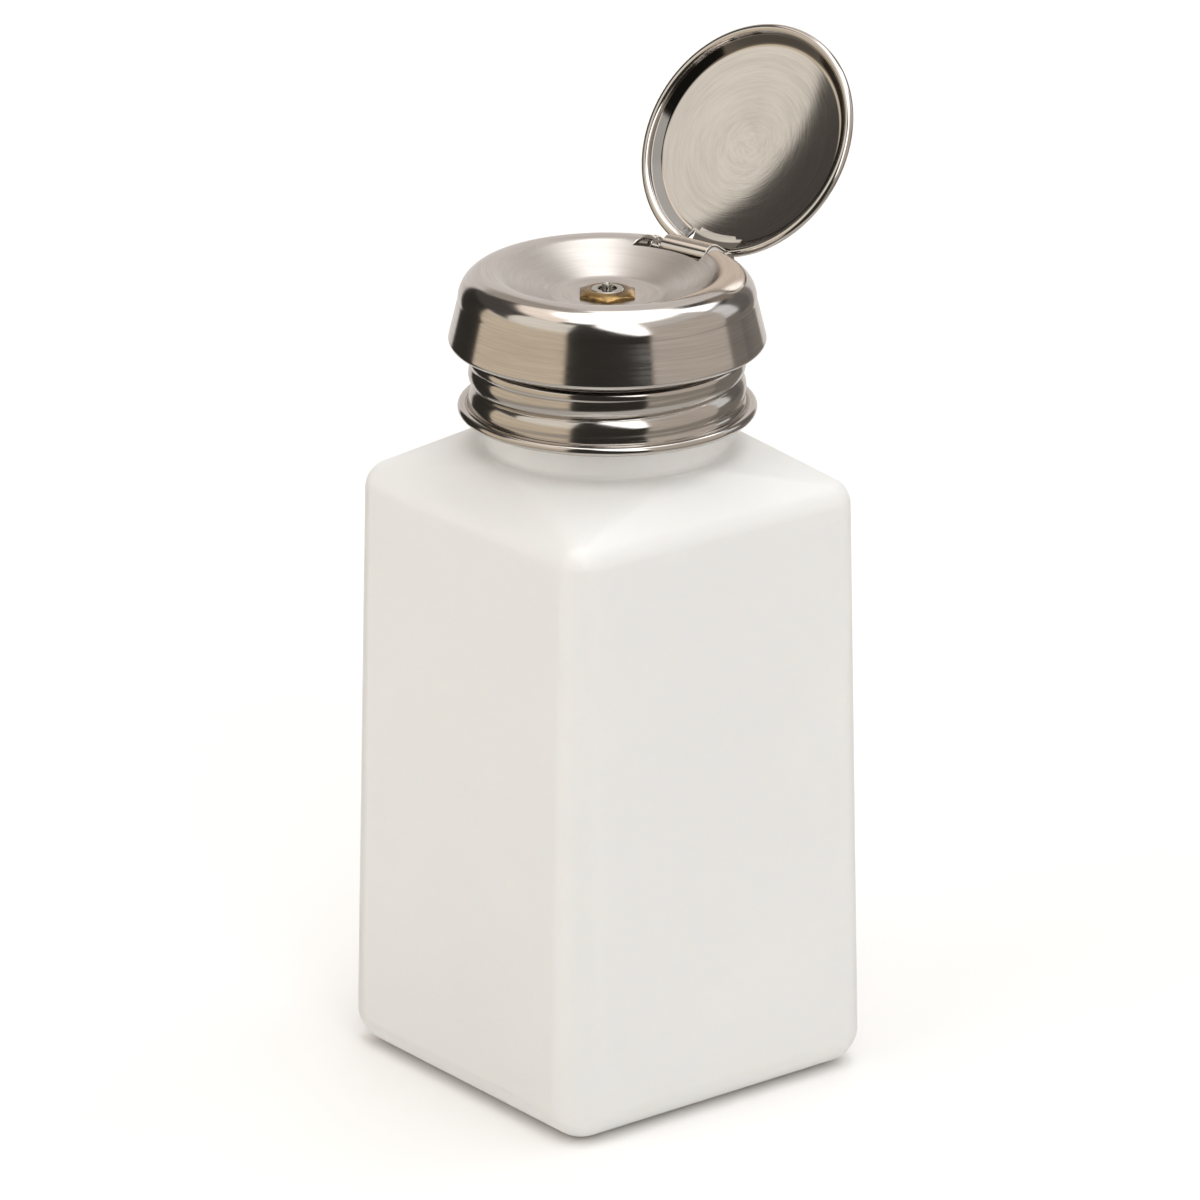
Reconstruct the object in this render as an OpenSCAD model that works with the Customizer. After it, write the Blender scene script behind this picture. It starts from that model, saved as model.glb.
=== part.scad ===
// Square dispenser bottle with a push-down pump, a steel dish and a hinged lid.
// Millimetres, +Z up, origin at the centre of the base. The hinge lies towards +Y.

/* [Bottle] */
// Width of the square body at its base
base_w = 57; // [52:0.5:62]
// Width of the square body under the shoulder
shoulder_w = 53.4; // [50:0.2:60]
// Height of the edge where the shoulder starts
body_h = 92.6; // [84:0.2:110]
// Rise of the shoulder up to the neck
shoulder_rise = 4.7; // [3:0.1:8]
// Radius of the upright corners and of the base edge
corner_r = 5.8; // [4:0.1:7]
// Radius of the shoulder's outer edge
shoulder_r = 4.2; // [3:0.1:5]
// Thickness of the blown wall
bottle_wall = 1.4; // [1:0.1:2]

/* [Neck] */
// Thickness of the neck's wall
neck_wall = 2.1; // [1.8:0.05:2.3]
// Width of the neck's edge left round the pump's flange
flange_inset = 0.1; // [0.05:0.05:0.3]
// Height of the neck above the shoulder
neck_h = 10.9; // [10:0.1:13]
// Radius of the hollow where the neck meets the shoulder
neck_foot_r = 1; // [0.6:0.1:1.2]
// Rise of the screw thread in one turn
thread_lead = 4; // [3.6:0.05:4.2]
// Height of the bottle's thread above the neck wall
thread_h = 0.95; // [0.8:0.05:1]
// Turns of thread on the bottle
thread_turns = 0.8; // [0.5:0.05:1]

/* [Collar] */
// Thickness of the collar's sheet
collar_sheet = 0.5; // [0.4:0.05:0.6]
// Gap between the bottle's thread and the collar's ridges
thread_room = 0.45; // [0.4:0.05:0.5]
// Depth of the rolled thread grooves
groove_depth = 0.85; // [0.75:0.05:0.9]
// Height of the collar
collar_h = 9.4; // [9.2:0.1:9.8]
// How far the rolled bead stands out from the ridges
bead_out = 1.6; // [1.4:0.1:1.8]
// Thickness of the bead
bead_t = 1.5; // [1.3:0.1:1.7]
// Radius of the collar's top edge
collar_edge_r = 1; // [0.6:0.1:1.3]

/* [Pump] */
// Thickness of the neck gasket
gasket_t = 1; // [0.6:0.1:1.4]
// Diameter of the pump body's flange
flange_d = 36.8; // [36:0.1:37.2]
// Thickness of the pump body's flange
flange_t = 1.4; // [1.2:0.1:2]
// Depth of the ring that centres the pump body in the neck
spigot_h = 4; // [2:0.1:6]
// Wall of the centring ring
spigot_wall = 1.2; // [0.8:0.1:1.6]
// Bore of the pump barrel
barrel_bore_d = 15.2; // [14.4:0.1:16]
// Wall of the pump barrel
barrel_wall = 1.6; // [1.2:0.1:2.2]
// Length of the barrel below the flange
barrel_l = 33.2; // [32:0.2:38]
// Thickness of the barrel's floor
barrel_floor = 2; // [1.6:0.1:3]
// Diameter of the valve seat's hole
seat_d = 3.4; // [2.6:0.1:3.8]
// Diameter of the foot ball
foot_ball_d = 5; // [4.6:0.1:5.6]
// Height of the cage over the foot ball
cage_h = 5.8; // [5.6:0.1:6.4]
// Thickness of the cage's wall and top
cage_t = 1; // [0.8:0.1:1.2]
// Length of the socket for the dip tube
tail_l = 9; // [7:0.5:12]
// Outside diameter of the dip tube
tube_d = 4.8; // [4.2:0.1:5.4]
// Wall of the dip tube
tube_wall = 0.8; // [0.6:0.05:1]
// Gap between the dip tube's tip and the bottle's floor
tube_foot_gap = 2.6; // [2:0.2:6]

/* [Gland] */
// Diameter of the gland nut's flange
gland_flange_d = 20; // [18.5:0.1:21]
// Thickness of the gland nut's flange
gland_flange_t = 0.8; // [0.6:0.1:1.2]
// Length of the gland nut below its flange
gland_l = 9; // [8:0.1:10]
// Outside diameter of the gland seal
seal_d = 9.2; // [8.8:0.1:10]
// Height of the gland seal
seal_h = 2; // [1.6:0.1:2.6]

/* [Plunger] */
// Stroke of the dish when it is pressed down
stroke = 6; // [5:0.1:6.2]
// Outside diameter of the stem
stem_d = 6.2; // [6.2:0.1:6.8]
// Diameter of the channel up the stem
channel_d = 2; // [1.4:0.1:2.4]
// Length of the piston
piston_l = 7.9; // [7:0.1:8.4]
// Width of the groove for the piston seal
piston_groove_w = 2.2; // [1.6:0.1:2.6]
// Depth of the groove for the piston seal
piston_groove_t = 1.2; // [0.8:0.05:1.4]
// Thickness of the foot that carries the piston
stem_foot_t = 1.6; // [1.2:0.1:2]
// Diameter of the discharge ball
ball_d = 3; // [2.8:0.1:3.2]
// Height of the discharge ball's chamber
chamber_h = 5.5; // [5:0.1:6]
// Diameter of the pin that stops the ball
stop_pin_d = 0.8; // [0.6:0.05:1]
// Wire diameter of the return spring
spring_wire = 0.8; // [0.6:0.05:0.85]
// Mean diameter of the return spring
spring_d = 11.2; // [10:0.1:12]
// Turns of the return spring
spring_turns = 6; // [5:0.5:6.5]

/* [Dish] */
// Thickness of the dish's sheet
dish_sheet = 0.6; // [0.5:0.05:0.7]
// Diameter of the dish over its crest line
crest_d = 35; // [34.6:0.1:35.4]
// Radius of the rounded crest
crest_r = 4.4; // [4.2:0.05:4.6]
// Height of the crest above the floor of the well
crest_h = 3.8; // [3.6:0.1:4]
// Radius of the flat floor of the well
floor_r = 7.4; // [7:0.1:8]
// Radius between the floor and the wall of the well
floor_fillet_r = 3; // [2:0.1:4]
// How far the skirt flares out below the crest
skirt_flare = 1.4; // [1.2:0.05:1.6]
// Depth of the skirt's edge below the floor of the well
skirt_drop = 7.3; // [7:0.1:7.6]
// Radius of the skirt's turned-in edge
lip_r = 0.9; // [0.8:0.05:1.1]
// Thickness of the washer under the dish
washer_t = 0.6; // [0.4:0.1:1]
// Diameter of the washer under the dish
washer_d = 11; // [9:0.1:13]
// Turn of the dish and lid about the bottle's axis
head_turn = 12.8; // [-90:0.1:90]

/* [Outlet] */
// Width across the flats of the outlet nut
nut_af = 8.05; // [7:0.05:9]
// Height of the nut's head above the well's floor
nut_head_h = 0.95; // [0.8:0.05:1.4]
// Diameter of the nut's shank
shank_d = 4.6; // [4.6:0.1:4.8]
// Length of the nut's shank below the well's floor
shank_l = 6.1; // [4:0.1:7]
// Diameter of the outlet sleeve's flange
sleeve_d = 4.9; // [4.6:0.1:5.4]
// Diameter of the outlet sleeve's tube
sleeve_tube_d = 3.4; // [3.2:0.1:3.5]
// Diameter of the recess in the outlet sleeve
recess_d = 2.7; // [2.4:0.1:2.8]
// Diameter of the nozzle tip
tip_d = 1.5; // [1.2:0.1:1.7]
// Diameter of the outlet hole
outlet_d = 0.7; // [0.5:0.05:0.8]
// Height of the nozzle tip above the sleeve
tip_h = 0.7; // [0.4:0.1:1]
// Turn of the nut from the hinge's direction
nut_turn = 9.2; // [0:0.1:60]

/* [Hinge] */
// Distance of the hinge pin outside the crest line
hinge_out = 1.9; // [1.7:0.05:2]
// Depth of the hinge pin below the crest
hinge_drop = 2.5; // [2.3:0.05:2.6]
// Diameter of the hinge pin
pin_d = 1.2; // [1:0.05:1.4]
// Width of the notch in the dish
notch_w = 12.4; // [11:0.1:13]
// Distance of the notch's inner edge inside the crest line, measured along the radius
notch_in = 2.7; // [2.3:0.05:2.9]
// Thickness of the ears that hold the pin
ear_t = 0.9; // [0.7:0.05:1.2]
// Radius of the ears round the pin
ear_r = 1.7; // [1.5:0.05:1.9]

/* [Lid] */
// Thickness of the lid's sheet
lid_sheet = 0.5; // [0.4:0.05:0.6]
// Outside diameter of the lid
lid_d = 36.5; // [36:0.1:37]
// Diameter of the lid's rolled bead
lid_bead_t = 1.4; // [1.2:0.05:1.5]
// Diameter of the lid's inner disc
disc_d = 31.4; // [30.5:0.1:32]
// Height of the disc's edge above the bead's middle
disc_h = 1.2; // [1:0.05:1.5]
// Extra height of the disc's middle
disc_rise = 1; // [0:0.05:1.2]
// Width of the strap
strap_w = 8.4; // [7:0.1:9]
// Outer radius of the strap's curl
curl_r = 2.4; // [2.2:0.05:2.5]
// Gap between the closed lid's bead and the crest
lid_gap = 0.3; // [0.2:0.05:0.4]
// Angle that the lid stands open
lid_open = 122.4; // [0:0.1:124]

/* [Hidden] */

$fn = 96;
blend_fn = 32;
thin = 0.01;

// Clearances
face_gap = 0.05;
fit_gap = 0.02;
running_gap = 0.06;
insert_gap = 0.2;
stop_gap = 0.1;
press_gap = 0.3;

// Bottle heights
neck_foot_z = body_h + shoulder_rise;
neck_top_z = neck_foot_z + neck_h;

// Neck, which the pump's flange closes
neck_r = flange_d / 2 + flange_inset;
neck_bore_r = neck_r - neck_wall;
neck_foot_slope = 25;
neck_foot_fall = 60;
neck_foot_sink = 0.2;

// Stack over the neck
flange_z = neck_top_z + gasket_t;
collar_inner_top_z = flange_z + flange_t + face_gap;
collar_top_z = collar_inner_top_z + collar_sheet;
collar_z = collar_top_z - collar_h;
gland_flange_z = collar_top_z + face_gap;
gland_top_z = gland_flange_z + gland_flange_t;
gland_bottom_z = gland_flange_z - gland_l;
washer_z = gland_top_z + press_gap + stroke;
dish_under_z = washer_z + washer_t;
floor_z = dish_under_z + dish_sheet;
crest_z = floor_z + crest_h;
skirt_z = floor_z - skirt_drop;

// Collar thread, shared by the collar and the bottle
thread_r = neck_r + thread_h;
ridge_r = thread_r + thread_room + collar_sheet;
bead_x = ridge_r + bead_out - bead_t / 2;
bead_z = collar_z + bead_t / 2;
band_bottom_z = bead_z + bead_t / 2;
band_top_z = collar_top_z - collar_edge_r;
band_fade = 0.8;
band_land = 0.3;
groove_phase = 0.18;
groove_z = band_bottom_z - groove_phase;
groove_power = 0.7;
band_steps = 48;
band_rows = 14;
seam_inset = 0.05;
seam_lap = 0.4;
bead_steps = 8;
edge_steps = 3;

// Bottle thread
thread_root_sink = 0.3;
thread_end_h = 0.1;
thread_foot_half_w = 0.95;
thread_crest_half_w = 0.45;
thread_top_land = 1.4;
thread_steps = 48;
thread_fade = 0.12;

// Gland and barrel
barrel_r = barrel_bore_d / 2;
gland_r = barrel_r - face_gap;
barrel_floor_z = flange_z - barrel_l;
barrel_bottom_z = barrel_floor_z - barrel_floor;
tail_z = barrel_bottom_z - tail_l;
tail_wall = 1.2;
tail_r = tube_d / 2 + fit_gap + tail_wall;
tube_top_z = barrel_bottom_z - face_gap;
tube_z = bottle_wall + tube_foot_gap;
tube_cut_angle = 35;
cage_z = barrel_floor_z + face_gap;
cage_top_z = cage_z + cage_h;
cage_port_d = 3;
cage_window_w = 2.4;
foot_ball_r = foot_ball_d / 2;
foot_ball_z = barrel_floor_z + sqrt(pow(foot_ball_r, 2) - pow(seat_d / 2, 2)) + fit_gap;

// Plunger
piston_top_z = gland_bottom_z - stop_gap;
piston_z = piston_top_z - piston_l;
piston_r = barrel_r - stop_gap;
piston_groove_z = piston_z + (piston_l - piston_groove_w) / 2;
stem_r = stem_d / 2;
stem_foot_lip = 1.2;
stem_foot_r = stem_r + stem_foot_lip;
stem_z = piston_z - stem_foot_t;
chamber_z = piston_z;
chamber_gap = 0.3;
chamber_r = ball_d / 2 + chamber_gap;
discharge_ball_z = chamber_z + sqrt(pow(ball_d / 2, 2) - pow(channel_d / 2, 2)) + fit_gap;
stop_pin_z = chamber_z + chamber_h - stop_pin_d;
shank_r = shank_d / 2;
shank_hole_r = shank_r + fit_gap;
socket_gap = 0.6;
stem_socket_z = floor_z - shank_l - socket_gap;
spring_z = cage_top_z + face_gap;
spring_top_z = piston_z - face_gap;
spring_step = 15;
spring_sides = 8;

// Dish section
crest_x = crest_d / 2;
crest_mid_z = crest_z - crest_r;
fillet_mid_z = floor_z + floor_fillet_r;
well_run = crest_x - floor_r;
well_drop = crest_mid_z - fillet_mid_z;
well_slope = atan2(well_drop, well_run) + asin((crest_r + floor_fillet_r) / norm([well_run, well_drop]));
arc_steps = 10;
skirt_r = crest_x + crest_r + skirt_flare;
lip_mid_z = skirt_z + lip_r;

// Outlet
sleeve_flange_t = 0.45;
sleeve_proud = 0.05;
sleeve_seat_z = floor_z + nut_head_h - sleeve_flange_t + sleeve_proud;
sleeve_top_z = sleeve_seat_z + sleeve_flange_t;
recess_depth = 0.7;
nut_edge_h = 0.25;
nut_chamfer = 0.2;
nut_rim = 0.3;

// Hinge and lid
hinge_y = crest_x + hinge_out;
hinge_z = crest_z - hinge_drop;
pin_r = pin_d / 2;
knuckle_bore_r = pin_r + face_gap;
knuckle_r = knuckle_bore_r + lid_sheet;
notch_rise = 0.5;
notch_r = crest_x - notch_in;
notch_z = crest_mid_z + notch_rise;
lid_bead_r = lid_bead_t / 2;
rim_z = crest_z + lid_gap + lid_bead_r;
rim_x = lid_d / 2 - lid_bead_r;
disc_x = disc_d / 2;
disc_z = rim_z + disc_h;
wall_x = rim_x - lid_bead_r + lid_sheet / 2;
strap_gap = 0.3;
strap_root_y = disc_x - 1;
strap_x = hinge_y - curl_r;
curl_turn = 200;
curl_power = 2.5;

// Points on an arc from one angle to another
function arc(x, y, r, a, b, steps = arc_steps) =
    [for (i = [0 : steps]) let (t = a + (b - a) * i / steps) [x + r * cos(t), y + r * sin(t)]];
function backwards(list) = [for (i = [len(list) - 1 : -1 : 0]) list[i]];

// A solid swept through rings of points, closed on itself or capped at both ends
module sweep(rings, closed = false) {
    sides = len(rings[0]);
    count = len(rings);
    last = closed ? count - 1 : count - 2;
    walls = [
        for (i = [0 : last], j = [0 : sides - 1])
            let (a = i * sides, b = ((i + 1) % count) * sides, k = (j + 1) % sides)
                [a + j, a + k, b + k, b + j]
    ];
    split = [for (w = walls) each [[w[0], w[1], w[2]], [w[0], w[2], w[3]]]];
    foot = [for (j = [sides - 1 : -1 : 0]) j];
    head = [for (j = [0 : sides - 1]) (count - 1) * sides + j];
    polyhedron(points = [for (r = rings) each r], faces = closed ? split : concat(split, [foot, head]));
}

module ring(r_out, r_in, h) {
    difference() {
        cylinder(r = r_out, h = h);
        translate([0, 0, -1]) cylinder(r = r_in, h = h + 2);
    }
}

// Everything that turns with the dish
module on_head() {
    rotate([0, 0, head_turn]) children();
}

// Bottle
module neck_foot() {
    foot_x = neck_r + neck_foot_r;
    hollow = arc(foot_x, neck_foot_z - neck_foot_sink + neck_foot_r * cos(neck_foot_slope), neck_foot_r,
        180, 270 - neck_foot_slope);
    tip = hollow[len(hollow) - 1];
    rotate_extrude() polygon(concat(
        [[neck_bore_r, neck_foot_z - bottle_wall], [neck_bore_r, hollow[0][1]]],
        hollow,
        [tip + neck_foot_r * [cos(neck_foot_fall), -sin(neck_foot_fall)], [tip[0], neck_foot_z - bottle_wall]]
    ));
}

module body_block(inset) {
    foot_r = corner_r - inset;
    top_r = shoulder_r - inset;
    foot_x = base_w / 2 - corner_r;
    top_x = shoulder_w / 2 - shoulder_r;
    hull() {
        for (x = [-1, 1], y = [-1, 1]) {
            translate([x * foot_x, y * foot_x, corner_r]) sphere(r = foot_r, $fn = blend_fn);
            translate([x * top_x, y * top_x, body_h - shoulder_r]) sphere(r = top_r, $fn = blend_fn);
        }
        translate([-foot_x, -foot_x, inset]) cube([2 * foot_x, 2 * foot_x, thin]);
        translate([0, 0, neck_foot_z - inset - thin])
            cylinder(r = neck_r - inset, h = thin, $fn = 2 * blend_fn);
    }
}

module bottle_thread() {
    start = groove_z + thread_lead / 2;
    top = neck_top_z - thread_top_land;
    end_turn = (top - start) / thread_lead;
    first_turn = end_turn - thread_turns;
    sweep([
        for (i = [0 : thread_steps])
            let (
                part = i / thread_steps,
                turn = first_turn + thread_turns * part,
                a = 360 * turn,
                z = start + thread_lead * turn,
                grow = min(1, part / thread_fade, (1 - part) / thread_fade),
                root = neck_r - thread_root_sink,
                crest = root + thread_end_h + (thread_r - root - thread_end_h) * grow
            )
            [for (p = [
                [root, -thread_foot_half_w], [crest, -thread_crest_half_w],
                [crest, thread_crest_half_w], [root, thread_foot_half_w]
            ]) [p[0] * cos(a), p[0] * sin(a), z + p[1]]]
    ]);
}

module bottle() {
    color([0.93, 0.93, 0.9]) difference() {
        union() {
            body_block(0);
            translate([0, 0, neck_foot_z - bottle_wall])
                cylinder(r = neck_r, h = neck_h + bottle_wall);
            neck_foot();
            bottle_thread();
        }
        body_block(bottle_wall);
        translate([0, 0, neck_foot_z - 2 * bottle_wall])
            cylinder(r = neck_bore_r, h = neck_h + 3 * bottle_wall);
    }
}

// Collar
function groove_at(z, a) =
    1 - pow(abs(sin(180 * (z - groove_z - thread_lead * a / 360) / thread_lead)), groove_power);
function fade_at(z) =
    min(1, (z - band_bottom_z - band_land) / band_fade, (band_top_z - band_land - z) / band_fade);
function band_r(z, a) = ridge_r - groove_depth * groove_at(z, a) * max(0, fade_at(z));

// The collar's section at one angle: bead, web, threaded wall, top edge and the stub of its top
function collar_section(a) =
    let (
        low = band_bottom_z + band_land,
        high = band_top_z - band_land,
        heights = concat([for (j = [0 : band_rows]) low + (high - low) * j / band_rows], [band_top_z]),
        inside = ridge_r - collar_sheet,
        edge_x = ridge_r - collar_edge_r,
        half = collar_sheet / 2,
        open_a = asin(collar_sheet / bead_t)
    )
    concat(
        [[inside, bead_z - half]],
        arc(bead_x, bead_z, bead_t / 2, -180 + open_a, 180 - open_a, bead_steps),
        [[ridge_r, bead_z + half]],
        [for (z = heights) [band_r(z, a), z]],
        arc(edge_x, band_top_z, collar_edge_r - seam_inset, 0, 90, edge_steps),
        [
            [edge_x - collar_edge_r, collar_top_z - seam_inset],
            [edge_x - collar_edge_r, collar_inner_top_z + seam_inset]
        ],
        arc(edge_x, band_top_z, collar_edge_r - collar_sheet + seam_inset, 90, 0, edge_steps),
        [for (z = backwards(heights)) [band_r(z, a) - collar_sheet, z]]
    );

module collar() {
    hole_r = gland_r + running_gap;
    color([0.66, 0.63, 0.6]) union() {
        sweep([
            for (i = [0 : band_steps - 1])
                let (a = 360 * i / band_steps)
                [for (p = collar_section(a)) [p[0] * cos(a), p[0] * sin(a), p[1]]]
        ], closed = true);
        translate([0, 0, collar_inner_top_z]) ring(ridge_r - collar_edge_r - seam_lap, hole_r, collar_sheet);
    }
}

module neck_gasket() {
    color([0.85, 0.85, 0.82]) translate([0, 0, neck_top_z])
        ring(flange_d / 2 - face_gap, neck_bore_r, gasket_t);
}

// Pump body and valves
module pump_body() {
    spigot_r = neck_bore_r - insert_gap;
    color([0.9, 0.9, 0.87]) difference() {
        union() {
            translate([0, 0, flange_z]) cylinder(d = flange_d, h = flange_t);
            translate([0, 0, flange_z - gasket_t - spigot_h])
                ring(spigot_r, spigot_r - spigot_wall, spigot_h + gasket_t);
            translate([0, 0, barrel_bottom_z])
                cylinder(r = barrel_r + barrel_wall, h = flange_z - barrel_bottom_z);
            translate([0, 0, tail_z]) cylinder(r = tail_r, h = tail_l);
        }
        translate([0, 0, barrel_floor_z]) cylinder(r = barrel_r, h = barrel_l + flange_t + 1);
        translate([0, 0, tail_z - 1]) cylinder(d = seat_d, h = tail_l + barrel_floor + 2);
        translate([0, 0, tail_z - 1]) cylinder(r = tube_d / 2 + fit_gap, h = tail_l + 1);
    }
}

module gland_nut() {
    color([0.88, 0.88, 0.86]) difference() {
        union() {
            translate([0, 0, gland_bottom_z]) cylinder(r = gland_r, h = gland_l);
            translate([0, 0, gland_flange_z]) cylinder(d = gland_flange_d, h = gland_flange_t);
        }
        translate([0, 0, gland_bottom_z - 1]) {
            cylinder(r = stem_r + running_gap, h = gland_l + gland_flange_t + 2);
            cylinder(d = seal_d + 2 * fit_gap, h = seal_h + face_gap + 1);
        }
    }
}

module gland_seal() {
    color([0.15, 0.15, 0.15]) translate([0, 0, gland_bottom_z])
        ring(seal_d / 2, stem_r + running_gap / 2, seal_h);
}

module foot_ball() {
    color([0.8, 0.8, 0.82]) translate([0, 0, foot_ball_z]) sphere(r = foot_ball_r);
}

module ball_cage() {
    color([0.9, 0.9, 0.87]) translate([0, 0, cage_z]) difference() {
        cylinder(r = barrel_r - face_gap, h = cage_h);
        translate([0, 0, -1]) cylinder(r = barrel_r - face_gap - cage_t, h = cage_h - cage_t + 1);
        cylinder(d = cage_port_d, h = cage_h + 1);
        for (a = [0, 90])
            rotate([0, 0, a]) translate([-barrel_r, -cage_window_w / 2, -1])
                cube([2 * barrel_r, cage_window_w, cage_h - 2 * cage_t + 1]);
    }
}

module dip_tube() {
    color([0.92, 0.92, 0.9]) difference() {
        translate([0, 0, tube_z]) ring(tube_d / 2, tube_d / 2 - tube_wall, tube_top_z - tube_z);
        translate([-tube_d / 2, 0, tube_z]) rotate([0, tube_cut_angle, 0])
            translate([-tube_d, -tube_d, -2 * tube_d]) cube([4 * tube_d, 2 * tube_d, 2 * tube_d]);
    }
}

module return_spring() {
    wire_r = spring_wire / 2;
    low = spring_z + wire_r;
    rise = spring_top_z - wire_r - low;
    steps = round(spring_turns * 360 / spring_step);
    closed_turns = 1;
    closed_rise = spring_wire + fit_gap;
    inner_turns = spring_turns - 2 * closed_turns;
    inner_rise = rise - 2 * closed_rise;
    color([0.7, 0.7, 0.7]) sweep([
        for (i = [0 : steps])
            let (
                turn = spring_turns * i / steps,
                z = turn < closed_turns ? low + closed_rise * turn
                    : turn > spring_turns - closed_turns
                        ? low + rise - closed_rise * (spring_turns - turn)
                        : low + closed_rise + inner_rise * (turn - closed_turns) / inner_turns,
                a = 360 * turn
            )
            [for (j = [0 : spring_sides - 1])
                let (b = 360 * j / spring_sides, r = spring_d / 2 + wire_r * cos(b))
                [r * cos(a), r * sin(a), z + wire_r * sin(b)]]
    ]);
}

// Plunger
module stem() {
    color([0.7, 0.7, 0.7]) difference() {
        union() {
            translate([0, 0, stem_z]) cylinder(r = stem_foot_r, h = stem_foot_t);
            translate([0, 0, stem_z]) cylinder(r = stem_r, h = washer_z - stem_z);
        }
        translate([0, 0, stem_z - 1]) cylinder(d = channel_d, h = washer_z - stem_z + 2);
        translate([0, 0, chamber_z]) cylinder(r = chamber_r, h = chamber_h);
        translate([0, 0, stem_socket_z]) cylinder(r = shank_hole_r, h = washer_z - stem_socket_z + 1);
        translate([0, 0, stop_pin_z]) rotate([0, 90, 0])
            cylinder(d = stop_pin_d + 2 * fit_gap, h = 2 * stem_d, center = true);
    }
}

module piston() {
    groove_r = piston_r - piston_groove_t;
    color([0.85, 0.85, 0.85]) difference() {
        translate([0, 0, piston_z]) cylinder(r = piston_r, h = piston_l);
        translate([0, 0, piston_z - 1]) cylinder(r = stem_r + fit_gap, h = piston_l + 2);
        translate([0, 0, piston_groove_z]) ring(piston_r + 1, groove_r, piston_groove_w);
    }
}

module piston_seal() {
    color([0.12, 0.12, 0.12]) translate([0, 0, piston_groove_z + face_gap])
        ring(barrel_r - fit_gap, piston_r - piston_groove_t + fit_gap, piston_groove_w - 2 * face_gap);
}

module discharge_ball() {
    color([0.8, 0.8, 0.82]) translate([0, 0, discharge_ball_z]) sphere(d = ball_d);
}

module ball_stop_pin() {
    color([0.7, 0.7, 0.7]) translate([0, 0, stop_pin_z]) rotate([0, 90, 0])
        cylinder(d = stop_pin_d, h = stem_d - 2 * fit_gap, center = true);
}

module dish_washer() {
    color([0.9, 0.9, 0.88]) translate([0, 0, washer_z]) ring(washer_d / 2, shank_hole_r, washer_t);
}

// Dish: its outer line, moved inwards by t
function dish_line(t, start_x) = concat(
    [[start_x, floor_z - t]],
    arc(floor_r, fillet_mid_z, floor_fillet_r + t, -90, -90 + well_slope),
    arc(crest_x, crest_mid_z, crest_r - t, 90 + well_slope, 0, 2 * arc_steps),
    [[skirt_r - t, lip_mid_z]]
);

module dish_fill(t) {
    rotate_extrude() polygon(concat(dish_line(t, 0), [[0, lip_mid_z]]));
}

module ears() {
    intersection() {
        dish_fill(dish_sheet / 2);
        for (side = [-1, 1])
            translate([side * (notch_w + ear_t) / 2, 0, 0]) rotate([90, 0, 90])
                linear_extrude(height = ear_t, center = true) {
                    translate([hinge_y, hinge_z]) circle(r = ear_r);
                    translate([hinge_y - ear_r, hinge_z]) square([2 * ear_r, crest_z - hinge_z]);
                }
    }
}

module dish() {
    color([0.72, 0.69, 0.66]) on_head() difference() {
        union() {
            difference() {
                rotate_extrude() {
                    polygon(concat(dish_line(0, shank_hole_r), backwards(dish_line(dish_sheet, shank_hole_r))));
                    translate([skirt_r - lip_r, lip_mid_z]) intersection() {
                        difference() {
                            circle(r = lip_r);
                            circle(r = lip_r - dish_sheet);
                        }
                        translate([0, -lip_r]) square(lip_r);
                    }
                }
                difference() {
                    translate([-notch_w / 2, 0, notch_z]) cube([notch_w, skirt_r + 1, crest_h + crest_r]);
                    cylinder(r = notch_r, h = crest_z + 1);
                }
            }
            ears();
        }
        translate([0, hinge_y, hinge_z]) rotate([0, 90, 0])
            cylinder(r = pin_r + fit_gap, h = notch_w + 4 * ear_t, center = true);
    }
}

// Outlet
module outlet_nut() {
    head_r = nut_af / 2 / cos(30);
    color([0.62, 0.47, 0.24]) on_head() rotate([0, 0, nut_turn]) difference() {
        union() {
            intersection() {
                translate([0, 0, floor_z]) cylinder(r = head_r, h = nut_head_h, $fn = 6);
                translate([0, 0, floor_z]) rotate_extrude() polygon([
                    [0, 0], [head_r, 0], [head_r, nut_edge_h], [nut_af / 2, nut_edge_h + nut_chamfer],
                    [sleeve_d / 2 + nut_rim, nut_head_h], [0, nut_head_h]
                ]);
            }
            translate([0, 0, floor_z - shank_l]) cylinder(r = shank_r, h = shank_l);
        }
        translate([0, 0, floor_z - shank_l - 1])
            cylinder(d = sleeve_tube_d + 2 * fit_gap, h = shank_l + nut_head_h + 2);
        translate([0, 0, sleeve_seat_z]) cylinder(d = sleeve_d + 2 * fit_gap, h = nut_head_h);
    }
}

module outlet_sleeve() {
    color([0.75, 0.74, 0.7]) difference() {
        union() {
            translate([0, 0, sleeve_seat_z]) cylinder(d = sleeve_d, h = sleeve_flange_t);
            translate([0, 0, floor_z - shank_l])
                cylinder(d = sleeve_tube_d, h = sleeve_seat_z + shank_l - floor_z);
            translate([0, 0, sleeve_seat_z]) cylinder(d = tip_d, h = sleeve_flange_t + tip_h);
        }
        translate([0, 0, sleeve_top_z - recess_depth]) ring(recess_d / 2, tip_d / 2, recess_depth + 1);
        translate([0, 0, floor_z - shank_l - 1]) cylinder(d = outlet_d, h = shank_l + crest_h + 2);
    }
}

// Hinge
module hinge_pin() {
    color([0.7, 0.68, 0.65]) on_head() translate([0, hinge_y, hinge_z]) rotate([0, 90, 0])
        cylinder(r = pin_r, h = notch_w + 2 * ear_t, center = true);
}

// Lid, drawn closed and then turned open about the pin
function disc_line(t) = concat(
    [for (i = [0 : arc_steps])
        let (x = disc_x * i / arc_steps) [x, disc_z + t + disc_rise * (1 - pow(x / disc_x, 2))]],
    [[wall_x + t, rim_z]]
);

module lid_cup() {
    rotate_extrude() {
        polygon(concat(disc_line(0), backwards(disc_line(lid_sheet))));
        translate([rim_x, rim_z]) circle(r = lid_bead_r);
    }
}

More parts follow.
